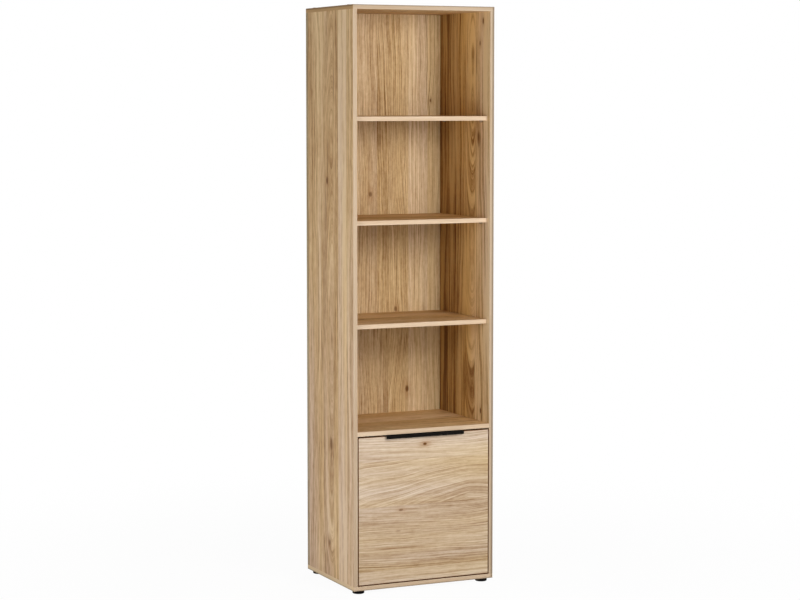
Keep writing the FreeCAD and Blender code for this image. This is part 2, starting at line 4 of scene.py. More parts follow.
import bmesh
import bpy
from mathutils import Matrix, Vector


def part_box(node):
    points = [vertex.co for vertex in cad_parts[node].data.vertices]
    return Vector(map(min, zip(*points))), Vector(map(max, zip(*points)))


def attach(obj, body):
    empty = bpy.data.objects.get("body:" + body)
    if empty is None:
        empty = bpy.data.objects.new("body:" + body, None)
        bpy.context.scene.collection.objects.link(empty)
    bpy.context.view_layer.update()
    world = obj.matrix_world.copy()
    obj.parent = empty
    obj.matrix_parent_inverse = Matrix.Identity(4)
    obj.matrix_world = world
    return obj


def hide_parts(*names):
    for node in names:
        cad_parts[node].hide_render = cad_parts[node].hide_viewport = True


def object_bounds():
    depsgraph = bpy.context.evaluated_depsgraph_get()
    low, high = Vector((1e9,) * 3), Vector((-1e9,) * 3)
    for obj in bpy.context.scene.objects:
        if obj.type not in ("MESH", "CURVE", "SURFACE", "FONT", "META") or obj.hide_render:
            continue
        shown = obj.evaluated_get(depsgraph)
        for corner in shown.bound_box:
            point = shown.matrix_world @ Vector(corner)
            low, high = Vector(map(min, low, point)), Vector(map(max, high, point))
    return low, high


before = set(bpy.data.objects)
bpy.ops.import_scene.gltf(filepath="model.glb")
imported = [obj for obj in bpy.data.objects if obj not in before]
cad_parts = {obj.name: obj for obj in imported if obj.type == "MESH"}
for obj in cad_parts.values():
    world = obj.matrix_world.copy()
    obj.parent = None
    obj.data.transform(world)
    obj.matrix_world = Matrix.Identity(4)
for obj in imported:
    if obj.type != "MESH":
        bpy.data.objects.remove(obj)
cad_low, cad_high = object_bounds()

bl_info = {
    "name": "Oak bookcase",
    "version": (1, 0, 0),
    "blender": (4, 5, 0),
    "location": "View3D > Sidebar > Bookcase",
    "description": "Finishes and fittings of a tall oak bookcase with a door",
    "category": "Object",
}

MM = 0.001
X, Y, Z = 0, 1, 2
UNTINTED = (1.0, 1.0, 1.0)
# The Mix node's sockets for colours, whose names it gives to several sockets
MIX_FIRST, MIX_SECOND, MIX_RESULT = 6, 7, 2

# What sets the patterns of faces and planks apart: steps for depth, lightness, ring centre and greyness
LAYER_STEPS = (40.0, 13.7, 7.3, 5.1)
# Lightness that all planks share, and how much a plank's own tone adds
BASE_LIGHT = 0.15
TONE_SHARE = 0.7
# Values of the noise over which a pore sets in, and over which a band's grain turns from dark to light
PORE_EDGES = (0.58, 0.7)
BAND_EDGES = (0.3, 0.7)
# How much more the grain ripples in the middle of a swirl
CURL_SHARE = 4.0
# How far the grain bends round a knot, and how wide and long that place is in radii of the knot
KNOT_BEND = 0.8
KNOT_REACH = 2.4
KNOT_OVERLAP = 3.0
# Where the core of a knot starts to fade and ends, in squares of its radius
KNOT_EDGES = (0.05, 1.5)
# The wood round a knot: how much darker it is, and how far its stain covers the decor
STAIN_SHADE = 0.12
STAIN_COVER = 0.5
# Share of a board's length at which a golden rise adds nothing
GOLDEN_FROM = 0.3
# Share of the width of a painted dark strip or line of edge shade over which it is full
SHADE_LINE_FULL = 0.7
# How far inside a face its finish starts
JUST_INSIDE = 0.1 * MM
# Pale and dark flakes of raw board in a metre
FLAKE_COUNT = 420.0
# Lightness of the fibreboard where its patterns add nothing
FIBREBOARD_LIGHT = 0.7

# Driven screws, as shares of the head's height and width or of the shaft's radius
HEAD_RIM = 0.55
HEAD_DOME = 0.45
DRIVE_WIDTH = 0.62
DRIVE_DEPTH = 0.65
BLADE_TIP = 0.45
BLADE_THICKNESS = 0.24
POINT_LENGTH = 1.2
POINT_RADIUS = 0.25
DOME_TURNS = (0.0, 0.35, 0.7, 1.05, 1.3, math.pi / 2)


class Pattern(NamedTuple):
    """One noise: its bumps in a metre on each of three axes, its shift on the last, and how much it adds."""

    counts: tuple
    shift: float = 0.0
    detail: float = 2.0
    rough: float = 0.5
    share: float = 1.0


# Patterns of the oak decor: across, along and from layer to layer
WANDER = Pattern((5.0, 1.8, 1.0))
RIPPLE = Pattern((30.0, 9.0, 1.0), 3.0)
FIELD = Pattern((17.0, 0.8, 1.0), 1.0, detail=1.0)
BANDS = Pattern((60.0, 1.8, 1.0), detail=1.0)
LINES = Pattern((1.0, 1.4, 1.0), 9.0, detail=4.0, rough=0.8)
FLECKS = Pattern((1.0, 0.4, 1.0), 11.0, rough=0.6)
STREAKS = Pattern((150.0, 12.0, 1.0), 7.0, rough=0.6, share=0.6)
FIBRE = Pattern((420.0, 18.0, 1.0), share=0.3)
PORES = Pattern((1300.0, 34.0, 1.0), detail=1.0, share=0.06)
HUE = Pattern((13.0, 0.9, 1.0), 5.0, detail=1.0)
# How far a plank lies off its heart: along, and from layer to layer
RISE = Pattern((1.7, 1.0, 0.0))
# Patterns of the bands: twice across, and along
BAND_STREAKS = Pattern((420.0, 420.0, 9.0), detail=3.0, rough=0.6, share=0.5)
BAND_CLOUDS = Pattern((90.0, 90.0, 2.2), share=0.5)
# Patterns of the fibreboard on X, Y and Z
FUZZ = Pattern((500.0,) * 3, detail=4.0, rough=0.7, share=0.35)
CLOUDS = Pattern((7.0,) * 3, detail=3.0, share=0.25)


class Skin(NamedTuple):
    """How a surface shines and feels.

    A fine and a broad pattern add their shares to its roughness and to its relief, whose height is in metres.
    """

    rough: float
    fine_rough: float = 0.0
    broad_rough: float = 0.0
    fine_relief: float = 1.0
    broad_relief: float = 0.0
    relief: float = 0.0
    gloss: float = 0.5
    metallic: float = 0.0


OAK_SKIN = Skin(
    0.52, fine_rough=0.12, broad_rough=0.1, fine_relief=0.4, broad_relief=-0.6, relief=0.12 * MM, gloss=0.15)
BAND_SKIN = Skin(0.45, fine_rough=0.15, relief=0.05 * MM, gloss=0.06)


class Stock(NamedTuple):
    """A material of one colour: its fine and broad pattern, its lightness without them, and its skin."""

    fine: Pattern
    broad: Pattern
    base_light: float
    skin: Skin


# Matt powder coat with its fine orange-peel relief
POWDER_COAT = Stock(
    Pattern((900.0,) * 3), Pattern((40.0,) * 3, detail=4.0, share=0.5), base_light=0.75,
    skin=Skin(0.42, broad_rough=0.16, relief=0.04 * MM, gloss=0.04))
# Moulded plastic with a fine eroded texture
CAP_PLASTIC = Stock(
    Pattern((1400.0,) * 3), Pattern((60.0,) * 3, share=0.3), base_light=0.85,
    skin=Skin(0.45, fine_rough=0.12, relief=0.03 * MM, gloss=0.1))
FOOT_PLASTIC = CAP_PLASTIC._replace(skin=CAP_PLASTIC.skin._replace(rough=0.5, gloss=0.03))
# Plated steel with fine marks along X, along Y for the hinges and along Z for the screws of the feet
DULL_PLATE = Stock(
    Pattern((60.0, 1500.0, 1500.0), detail=3.0), Pattern((70.0,) * 3, detail=3.0, share=0.2), base_light=0.88,
    skin=Skin(0.42, fine_rough=0.14, broad_rough=0.08, relief=0.02 * MM, metallic=1.0))
HINGE_PLATE = DULL_PLATE._replace(
    fine=Pattern((1500.0, 60.0, 1500.0), detail=3.0), skin=DULL_PLATE.skin._replace(rough=0.24))
SCREW_PLATE = DULL_PLATE._replace(
    fine=Pattern((1500.0, 1500.0, 60.0), detail=3.0), skin=DULL_PLATE.skin._replace(rough=0.32))
# Turned beech with its short rays
BEECH = Stock(
    Pattern((700.0, 700.0, 160.0)), Pattern((700.0, 700.0, 160.0), share=0.4), base_light=0.8,
    skin=Skin(0.6, fine_rough=0.15, relief=0.05 * MM))


class Knot(NamedTuple):
    """One knot or dark check: its place as shares of the board, its radius, its length and how dark it is."""

    across_share: float
    along_share: float
    radius: float
    stretch: float = 2.2
    dark_share: float = 1.0


class Swirl(NamedTuple):
    """A place where the grain is curly, as shares of the board, with its half width and half length."""

    across_share: float
    along_share: float
    half_width: float
    half_length: float


class BoardFigure(NamedTuple):
    """How the planks of the oak decor lie on a board, with shares of the board's width and length.

    The counts are lines and flecks in a metre. The other shares say how strong each part of the decor is.
    """

    node: str
    across: int
    along: int
    through: int
    seam_shares: tuple
    tone_shares: tuple
    heart_shares: tuple
    grey_shares: tuple
    crest_share: float
    knots: tuple = ()
    swirls: tuple = ()
    wander_share: float = 1.0
    ripple_share: float = 1.0
    field_share: float = 0.6
    band_share: float = 0.5
    line_share: float = 1.4
    line_count: float = 130.0
    fleck_share: float = 0.45
    fleck_count: float = 140.0
    hue_share: float = 1.8
    golden_rise: float = 0.0
    taper: float = 0.05
    # Strength of the painted edge shade at the rear edge
    rear_shade_share: float = 0.35
    tint: tuple = UNTINTED


LEFT_SIDE = BoardFigure(
    "side_panel_left", Y, Z, X,
    seam_shares=(0.135, 0.31, 0.41, 0.63, 0.83),
    tone_shares=(0.67, 0.99, 0.43, 0.55, 0.61, 0.47),
    heart_shares=(-0.5, 1.2, -0.2, 0.45, 0.9, 1.5),
    grey_shares=(0.5, 0.5, 0.1, 0.35, 0.25, 0.35),
    crest_share=0.48,
    knots=(Knot(0.545, 0.704, 8 * MM, 1.8, 1.0), Knot(0.47, 0.238, 11 * MM, 2.2, 0.7),
           Knot(0.505, 0.06, 5 * MM), Knot(0.47, 0.217, 3 * MM, 9.0, 0.5),
           Knot(0.33, 0.5, 2.5 * MM, 30.0, 0.35), Knot(0.53, 0.745, 3 * MM, 24.0, 0.6),
           Knot(0.575, 0.655, 3 * MM, 24.0, 0.6), Knot(0.66, 0.395, 3 * MM, 18.0, 0.5),
           Knot(0.4, 0.87, 3 * MM, 20.0, 0.4)),
    swirls=(Swirl(0.62, 0.5, 45 * MM, 150 * MM), Swirl(0.5, 0.71, 35 * MM, 90 * MM)),
    wander_share=0.5,
    ripple_share=0.6,
    band_share=0.8,
    line_share=2.3,
    line_count=160.0,
    fleck_share=0.5,
    fleck_count=75.0,
    hue_share=2.6,
    golden_rise=0.85,
    rear_shade_share=1.0,
    tint=(1.04, 1.01, 0.99),
)
RIGHT_SIDE = BoardFigure(
    "side_panel_right", Y, Z, X,
    seam_shares=(0.12, 0.27, 0.46, 0.62, 0.79),
    tone_shares=(1.12, 0.84, 0.65, 0.75, 0.61, 0.54),
    heart_shares=(-0.3, -0.2, 0.33, 1.3, -0.4, 1.5),
    grey_shares=(0.1, 0.25, 0.05, 0.1, 0.0, 0.0),
    crest_share=0.93,
    knots=(Knot(0.132, 0.984, 5 * MM, 2.5), Knot(0.188, 0.945, 4.5 * MM, 2.0, 0.8),
           Knot(0.205, 0.776, 15 * MM, 1.9, 0.5), Knot(0.215, 0.779, 6 * MM, 3.0, 0.8),
           Knot(0.24, 0.81, 2.5 * MM, 30.0, 0.6), Knot(0.16, 0.29, 5 * MM),
           Knot(0.2, 0.7, 2.5 * MM, 40.0, 0.5), Knot(0.25, 0.92, 3 * MM, 20.0, 0.6)),
    swirls=(Swirl(0.3, 0.95, 50 * MM, 60 * MM),),
    wander_share=0.7,
    field_share=0.8,
    band_share=2.1,
    line_share=3.5,
    line_count=160.0,
)
BACK = BoardFigure(
    "back_panel", X, Z, Y,
    seam_shares=(0.168, 0.354, 0.498, 0.592, 0.74, 0.889),
    tone_shares=(0.55, 0.62, 0.47, 0.36, 0.5, 0.7, 0.87),
    heart_shares=(-0.3, 1.2, 1.6, -0.3, 0.3, -0.5, 1.6),
    grey_shares=(0.15, 0.0, 0.4, 0.05, 0.0, 0.35, 0.0),
    crest_share=0.62,
    knots=(Knot(0.912, 0.842, 3.5 * MM, 2.0, 0.8), Knot(0.451, 0.673, 7 * MM, 1.4, 0.7),
           Knot(0.643, 0.463, 6.5 * MM, 1.6, 0.7), Knot(0.732, 0.315, 7 * MM, 1.8, 0.9),
           Knot(0.44, 0.73, 2 * MM, 25.0, 0.4)),
    swirls=(Swirl(0.44, 0.7, 30 * MM, 80 * MM),),
    wander_share=0.8,
    field_share=0.25,
    band_share=0.1,
    line_share=2.9,
    line_count=320.0,
    golden_rise=-0.3,
    tint=(0.98, 1.005, 0.975),
)
DOOR = BoardFigure(
    "door_panel", Z, X, Y,
    seam_shares=(0.085, 0.235, 0.523, 0.83),
    tone_shares=(0.72, 0.5, 0.54, 0.6, 0.71),
    heart_shares=(1.5, 1.4, 1.5, 0.4, 1.7),
    grey_shares=(0.95, 0.6, 0.7, 0.6, 1.1),
    crest_share=0.85,
    knots=(Knot(0.933, 0.505, 5 * MM, 1.6, 1.0), Knot(0.492, 0.32, 4.5 * MM, 2.0, 0.6),
           Knot(0.232, 0.31, 1.6 * MM, 60.0, 0.5), Knot(0.52, 0.8, 1.5 * MM, 60.0, 0.3),
           Knot(0.35, 0.3, 2 * MM, 5.0, 0.4), Knot(0.13, 0.62, 1.5 * MM, 50.0, 0.3)),
    swirls=(Swirl(0.32, 0.32, 35 * MM, 70 * MM), Swirl(0.27, 0.75, 35 * MM, 60 * MM),
            Swirl(0.09, 0.8, 22 * MM, 80 * MM), Swirl(0.86, 0.2, 16 * MM, 60 * MM)),
    wander_share=0.45,
    ripple_share=0.25,
    band_share=0.25,
    line_share=2.1,
    line_count=260.0,
    fleck_share=0.3,
    hue_share=2.6,
    golden_rise=0.35,
    taper=0.22,
    tint=(0.9, 0.94, 0.975),
)
TOP = BoardFigure(
    "top_panel", Y, X, Z,
    seam_shares=(0.24, 0.5, 0.77),
    tone_shares=(0.6, 0.45, 0.7, 0.5),
    heart_shares=(0.1, 0.4, 0.6, 0.9),
    grey_shares=(0.3, 0.5, 0.2, 0.6),
    crest_share=0.3,
    knots=(Knot(0.36, 0.7, 5 * MM),),
    swirls=(Swirl(0.6, 0.4, 40 * MM, 60 * MM),),
    tint=(1.0, 0.95, 0.82),
)
BOTTOM = TOP._replace(node="bottom_panel", crest_share=0.7, knots=(Knot(0.6, 0.25, 5 * MM),))
FIXED_SHELF = BoardFigure(
    "fixed_shelf", Y, X, Z,
    seam_shares=(0.2, 0.48, 0.75),
    tone_shares=(0.6, 0.4, 0.7, 0.45),
    heart_shares=(0.1, 0.35, 0.6, 0.9),
    grey_shares=(0.3, 0.1, 0.4, 0.2),
    crest_share=0.55,
    knots=(Knot(0.53, 0.87, 4 * MM, 6.0, 0.8),),
    tint=(1.0, 0.93, 0.78),
)
LOOSE_SHELF = FIXED_SHELF._replace(
    node="shelf_lower", seam_shares=(0.3, 0.55, 0.8), crest_share=0.4, knots=(Knot(0.45, 0.2, 4 * MM),))
MIDDLE_SHELF = LOOSE_SHELF._replace(node="shelf_middle", crest_share=0.5, tint=(0.91, 0.79, 0.57))


class BandEnd(NamedTuple):
    """Bands that lie past a place on X: the axis of their grain, their tint and their dark line's width."""

    start: float
    along: int
    tint: tuple = UNTINTED
    line_share: float = 1.0


class Lamp(NamedTuple):
    """A square soft lamp: its place and side in metres and its power in watts."""

    name: str
    place: tuple
    side: float
    power: float


LAMPS = (
    Lamp("near right", (0.45, -2.5, 2.0), 0.8, 31.0),
    Lamp("near left", (-0.4, -2.2, 2.1), 0.8, 6.5),
    Lamp("far high", (0.5, -3.5, 1.95), 0.8, 13.5),
    Lamp("far low", (0.4, -3.4, 1.1), 0.9, 19.0),
    Lamp("left front", (-3.1, -1.9, 1.2), 1.6, 44.0),
    Lamp("left", (-3.5, 0.5, 1.1), 2.0, 23.0),
    Lamp("behind", (2.4, 3.2, 2.2), 2.0, 80.0),
    Lamp("above", (0.0, 0.0, 4.6), 0.5, 14.0),
)


class Link:
    """A socket of a finish that takes part in sums, so that a pattern reads as a formula."""

    def __init__(self, finish, socket):
        self.finish = finish
        self.socket = socket

    def maths(self, operation, *others):
        return self.finish.maths(operation, self, *others)

    def __add__(self, other):
        return self.finish.maths("ADD", self, other)

    __radd__ = __add__

    def __mul__(self, other):
        return self.finish.maths("MULTIPLY", self, other)

    def __sub__(self, other):
        return self.finish.maths("SUBTRACT", self, other)

    def __rsub__(self, other):
        return self.finish.maths("SUBTRACT", other, self)

    def __truediv__(self, other):
        return self.finish.maths("DIVIDE", self, other)

    def squared(self):
        return self * self

    def between(self, low, high):
        """0 below the low value and 1 above the high one, with a soft step between them."""
        values = {"Value": self, "From Min": low, "From Max": high}
        return self.finish.node("MapRange", {"interpolation_type": "SMOOTHSTEP"}, values)


class Finish:
    """The nodes of one material or world while it is made, and the sums between them."""

    def __init__(self, owner):
        owner.use_nodes = True
        self.owner = owner
        self.tree = owner.node_tree
        self.surface = self.tree.nodes.get("Principled BSDF")

    def node(self, kind, settings=None, values=None, output=0):
        """A new node of a kind, with its settings made first and its sockets fed after them."""
        node = self.tree.nodes.new("ShaderNode" + kind)
        for name, value in (settings or {}).items():
            if name == "stops":
                self.set_stops(node.color_ramp, value)
            elif name == "interpolation":
                node.color_ramp.interpolation = value
            else:
                setattr(node, name, value)
        for name, value in (values or {}).items():
            self.feed(node.inputs[name], value)
        return Link(self, node.outputs[output])

    def feed(self, socket, value):
        if isinstance(value, Link):
            self.tree.links.new(value.socket, socket)
        else:
            socket.default_value = value

    def set_stops(self, ramp, stops):
        """The places and colours of a ramp."""
        while len(ramp.elements) > 1:
            ramp.elements.remove(ramp.elements[-1])
        for index, (place, colour) in enumerate(stops):
            element = ramp.elements[0] if index == 0 else ramp.elements.new(place)
            element.position = place
            element.color = rgba(colour)

    def maths(self, operation, *values):
        return self.node("Math", {"operation": operation}, dict(enumerate(values)))

    def mix(self, share, first, second, blend="MIX"):
        """One colour going over to another with a share."""
        settings = {"data_type": "RGBA", "clamp_factor": True, "blend_type": blend}
        values = {"Factor": share, MIX_FIRST: first, MIX_SECOND: second}
        return self.node("Mix", settings, values, output=MIX_RESULT)

    def tinted(self, colour, tint, share=1.0):
        """A colour multiplied by a tint, as far as a share says."""
        return self.mix(share, colour, rgba(tint), blend="MULTIPLY")

    def scaled(self, colour, share):
        """A colour made lighter or darker by a share."""
        return self.node("VectorMath", {"operation": "SCALE"}, {0: colour, "Scale": share})

    def place(self):
        """The three object coordinates, in metres."""
        split = self.node("SeparateXYZ", values={0: self.node("TexCoord", output="Object")})
        return [Link(self, socket) for socket in split.socket.node.outputs]

    def noise(self, places, pattern):
        """Smooth noise between 0 and 1 over three places. A place whose count is 0 changes nothing."""
        x, y, z = (place * count for place, count in zip(places, pattern.counts))
        point = self.node("CombineXYZ", values={0: x, 1: y, 2: z + pattern.shift})
        values = {"Vector": point, "Scale": 1.0, "Detail": pattern.detail, "Roughness": pattern.rough}
        return self.node("TexNoise", values=values)

    def colour(self, value):
        self.feed(self.surface.inputs["Base Color"], value if isinstance(value, Link) else rgba(value))

    def cover(self, skin, fine, broad=0.0):
        """Roughness, relief and gloss of the surface, from a fine and a broad pattern."""
        rough = skin.rough + fine * skin.fine_rough + broad * skin.broad_rough
        self.feed(self.surface.inputs["Roughness"], rough)
        height = fine * skin.fine_relief + broad * skin.broad_relief
        relief = self.node("Bump", values={"Height": height, "Distance": skin.relief, "Strength": 1.0})
        self.feed(self.surface.inputs["Normal"], relief)
        self.set(Specular_IOR_Level=skin.gloss, Metallic=skin.metallic)

    def set(self, **values):
        """Plain values of the surface, with spaces in the sockets' names written as underscores."""
        for name, value in values.items():
            self.surface.inputs[name.replace("_", " ")].default_value = value


def rgba(colour):
    return (*colour, 1.0)


def dress(material, *nodes):
    """Give CAD nodes a material."""
    for name in nodes:
        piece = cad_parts[name]
        if not piece.material_slots:
            piece.data.materials.append(None)
        for holder in piece.material_slots:
            holder.material = material


def planks(finish, across_share, figure):
    """The lightness, ring centre and greyness of the plank at each place, from one ramp of steps."""
    places = (0.0,) + figure.seam_shares
    hearts = (heart + 1.0 for heart in figure.heart_shares)
    stops = list(zip(places, zip(figure.tone_shares, hearts, figure.grey_shares)))
    steps = finish.node("ValToRGB", {"stops": stops, "interpolation": "CONSTANT"}, {"Fac": across_share})
    parts = finish.node("SeparateColor", values={0: steps})
    tone, heart, grey = (Link(finish, socket) for socket in parts.socket.node.outputs)
    return tone, heart - 1.0, grey


def bell(finish, off_across, off_along, half_width, half_length):
    """A soft spot: 1 in its middle, falling to nothing over its half width and half length."""
    reach = (off_across / half_width).squared() + (off_along / half_length).squared()
    return finish.maths("EXPONENT", reach * -1.0)


class Grain:
    """The patterns of one board's decor: its planks, its growth rings and the knots and swirls on it."""

    def __init__(self, finish, axes, figure):
        self.finish = finish
        self.figure = figure
        self.across = axes[figure.across]
        self.along = axes[figure.along]
        low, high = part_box(figure.node)
        self.across_from = low[figure.across]
        self.along_from = low[figure.along]
        self.width = high[figure.across] - self.across_from
        self.length = high[figure.along] - self.along_from
        across_share = (self.across - self.across_from) / self.width
        self.tone, self.heart, self.grey = planks(finish, across_share, figure)
        parts = (axes[figure.through], self.tone, self.heart, self.grey)
        depth, tone, heart, grey = (part * step for part, step in zip(parts, LAYER_STEPS))
        self.layer = depth + tone + heart + grey
        self.led = self.across
        self.core = 0.0
        self.stain = 0.0
        self.curl = 0.0
        for knot in figure.knots:
            self.add_knot(knot)
        for swirl in figure.swirls:
            off_across, off_along = self.offsets(swirl)
            self.curl = bell(finish, off_across, off_along, swirl.half_width, swirl.half_length) + self.curl

    def offsets(self, spot):
        """How far a place lies from the middle of a knot or swirl, across and along."""
        return (self.across - (self.across_from + spot.across_share * self.width),
                self.along - (self.along_from + spot.along_share * self.length))

    def add_knot(self, knot):
        """Lead the grain round a knot, darken its core and stain the wood round it."""
        off_across, off_along = self.offsets(knot)
        reach = (KNOT_REACH * knot.radius, (knot.stretch + KNOT_OVERLAP) * knot.radius)
        near = bell(self.finish, off_across, off_along, *reach)
        self.led = self.led - off_across * near * (KNOT_BEND * knot.dark_share)
        core = (off_across / knot.radius).squared() + (off_along / (knot.stretch * knot.radius)).squared()
        dark = (1.0 - core.between(*KNOT_EDGES)) * knot.dark_share
        self.core = self.finish.maths("MAXIMUM", dark, self.core)
        self.stain = self.finish.maths("MAXIMUM", near * knot.dark_share, self.stain)

    def noise(self, pattern, across=None, along=None):
        """A pattern's noise over the board, or over other places across and along it."""
        places = (across or self.across, along or self.along, self.layer)
        return self.finish.noise(places, pattern)

    def ring(self, oak):
        """How far a place lies from the middle of its growth rings."""
        figure = self.figure
        wander = self.noise(WANDER) - 0.5
        ripple = self.noise(RIPPLE) - 0.5
        curl = self.curl * CURL_SHARE + figure.ripple_share
        sideways = wander * (oak.wander * figure.wander_share) + ripple * curl * oak.ripple
        off_heart = self.led + sideways - (self.heart * self.width + self.across_from)
        off_crest = self.along - (self.along_from + figure.crest_share * self.length)
        rise = self.finish.noise((self.along, self.layer, 0.0), RISE) * oak.rise
        rise = rise + (off_crest * figure.taper).maths("ABSOLUTE")
        return (off_heart.squared() + rise.squared()).maths("SQRT")

    def rings(self, oak):
        """The growth rings' part of the lightness: broad fields, bands and fine lines."""
        figure = self.figure
        ring = self.ring(oak)
        field = self.noise(FIELD, ring) - 0.5
        bands = self.noise(BANDS, ring) - 0.5
        lines = self.noise(LINES, ring * figure.line_count) - 0.5
        return field * figure.field_share + bands * figure.band_share + lines * figure.line_share

    def golden(self):
        """How golden a place is: wholly at 1 or more, and wholly grey at 0 or less."""
        figure = self.figure
        golden = (self.noise(HUE) - 0.5) * figure.hue_share + 1.0 - self.grey
        if figure.golden_rise:
            plain_at = self.along_from + GOLDEN_FROM * self.length
            golden = golden + (self.along - plain_at) * (figure.golden_rise / self.length)
        return golden


def oak_decor(name, figure, oak, raw_rear=None, inner=None, gap=None):
    """Printed oak decor: planks with growth rings, streaks, pores and knots.

    The rear edge may be raw board, with a painted dark strip of edge shade in front of it, and the face below
    a place on X may have painted shade of the bays: a richer tint that darkens towards the back.
    A gap is the highest corner of the place behind the door's gap, which is painted dark as shade.
    """
    finish = Finish(bpy.data.materials.new(name))
    axes = finish.place()
    grain = Grain(finish, axes, figure)
    rings = grain.rings(oak)
    if inner is not None:
        inside = axes[X].maths("LESS_THAN", inner)
        rings = rings * (inside * (1.0 - oak.outer_contrast) + oak.outer_contrast)
    flecks = grain.noise(FLECKS, grain.across * figure.fleck_count, grain.along * figure.fleck_count) - 0.5
    streaks = grain.noise(STREAKS) - 0.5
    fibre = grain.noise(FIBRE)
    pores = grain.noise(PORES).between(*PORE_EDGES)
    light = grain.tone * TONE_SHARE + BASE_LIGHT + rings
    light = light + streaks * STREAKS.share + flecks * figure.fleck_share
    light = light + (fibre - 0.5) * FIBRE.share - pores * PORES.share - grain.stain * STAIN_SHADE
    stops = [(0.0, oak.dark), (0.3, oak.brown), (0.5, oak.middle), (0.7, oak.light), (1.0, oak.cream)]
    colour = finish.node("ValToRGB", {"stops": stops, "interpolation": "LINEAR"}, {"Fac": light})
    golden = grain.golden()
    colour = finish.tinted(colour, oak.golden_tint, golden)
    colour = finish.tinted(colour, oak.grey_tint, 1.0 - golden)
    colour = finish.tinted(colour, figure.tint)
    # Painted shade of the bays: a richer tint and a darkening that grow towards the back
    if inner is not None:
        depth = axes[Y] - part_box(figure.node)[0].y
        colour = finish.tinted(colour, oak.inner_shade_tint, inside * depth.between(0.0, oak.inner_shade_depth))
        deep = inside * depth.between(0.0, 2.0 * oak.inner_shade_depth)
        colour = finish.scaled(colour, 1.0 - deep * oak.inner_shade)
    colour = finish.mix(grain.stain * STAIN_COVER, colour, rgba(oak.stain))
    colour = finish.mix(grain.core, colour, rgba(oak.knot))
    # Painted shade in the door's gap: the corner behind it is tinted dark
    if gap is not None:
        x, y, z = (place.maths("LESS_THAN", limit) for place, limit in zip(axes, gap))
        colour = finish.tinted(colour, oak.gap_shade_tint, x * y * z)
    if raw_rear is not None:
        # Painted edge shade: a darker strip just in front of the raw rear edge
        edge_shade_strip = axes[Y].between(raw_rear - oak.rear_shade_width, raw_rear - SHADE_LINE_FULL * oak.rear_shade_width)
        colour = finish.tinted(colour, oak.rear_shade_tint, edge_shade_strip * figure.rear_shade_share)
        raw = axes[Y].maths("GREATER_THAN", raw_rear)
        colour = finish.mix(raw, colour, chipboard(finish, axes, oak))
    finish.colour(colour)
    finish.cover(OAK_SKIN, fibre, pores)
    return finish.owner


def chipboard(finish, axes, oak):
    """Raw board: pressed flakes, pale and dark."""
    point = finish.node("CombineXYZ", values=dict(enumerate(axes)))
    flakes = finish.node("TexVoronoi", values={"Vector": point, "Scale": FLAKE_COUNT}, output="Color")
    shade = finish.node("SeparateColor", values={0: flakes})
    return finish.mix(shade, rgba(oak.flake_dark), rgba(oak.flake_light))


def band_finish(name, oak, along, level, outline=None, end=None, tint=UNTINTED):
    """Light edge band with a faint grain along it.

    An outline is the lowest and highest corner of the frame, whose outer edges get a painted dark line of
    edge shade.
    """
    finish = Finish(bpy.data.materials.new(name))
    axes = finish.place()

    def grain(axis):
        places = [axes[other] for other in (X, Y, Z) if other != axis] + [axes[axis]]
        streaks, clouds = (finish.noise(places, kind) * kind.share for kind in (BAND_STREAKS, BAND_CLOUDS))
        return streaks + clouds

    pattern = grain(along)
    if end is not None:
        past = axes[X].maths("ABSOLUTE").maths("GREATER_THAN", end.start)
        pattern = pattern * (1.0 - past) + grain(end.along) * past
    # Painted edge shade: a dark line along the frame's outer edges
    if outline is not None:
        low, high = outline
        middle = (low.z + high.z) / 2
        right = (axes[X] - high.x) / oak.right_line
        up = (axes[Z] - middle).maths("ABSOLUTE") - (high.z - middle)
        if end is not None:
            right = right - past
            up = up * (1.0 - past * (1.0 - 1.0 / end.line_share))
        line = right.maths("MAXIMUM", up).between(-oak.outline, -SHADE_LINE_FULL * oak.outline)
        level = (1.0 - line * oak.outline_shade) * level
    colour = finish.mix(pattern.between(*BAND_EDGES), rgba(oak.band_dark), rgba(oak.band_light))
    colour = finish.tinted(colour, tint)
    if end is not None:
        colour = finish.tinted(colour, end.tint, past)
    finish.colour(finish.scaled(colour, level))
    finish.cover(BAND_SKIN, pattern)
    return finish.owner


def fibreboard_rear(name, figure, oak, rear):
    """The back panel: oak decor in front and plain brown fibreboard behind."""
    material = oak_decor(name, figure, oak)
    finish = Finish(material)
    axes = finish.place()
    fuzz, clouds = (finish.noise(axes, kind) * kind.share for kind in (FUZZ, CLOUDS))
    plain = finish.scaled(oak.fibreboard, fuzz + clouds + FIBREBOARD_LIGHT)
    behind = axes[Y].maths("GREATER_THAN", rear)
    socket = finish.surface.inputs["Base Color"]
    front = Link(finish, socket.links[0].from_socket)
    finish.colour(finish.mix(behind, front, plain))
    return material


def plain_finish(name, colour, stock):
    """A material of one colour, varied a little by its fine and broad pattern."""
    finish = Finish(bpy.data.materials.new(name))
    axes = finish.place()
    fine = finish.noise(axes, stock.fine)
    broad = finish.noise(axes, stock.broad)
    finish.colour(finish.scaled(colour, broad * stock.broad.share + stock.base_light))
    finish.cover(stock.skin, fine, broad)
    return finish.owner


def ease_edges(name, radius):
    """Round the long edges of a CAD node's strips a little, as the trimmed band is."""
    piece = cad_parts[name]
    weld = piece.modifiers.new("joined corners", "WELD")
    weld.merge_threshold = 0.01 * MM
    bevel = piece.modifiers.new("eased edges", "BEVEL")
    bevel.width = radius
    bevel.segments = 2
    bevel.limit_method = "ANGLE"
    bevel.harden_normals = True


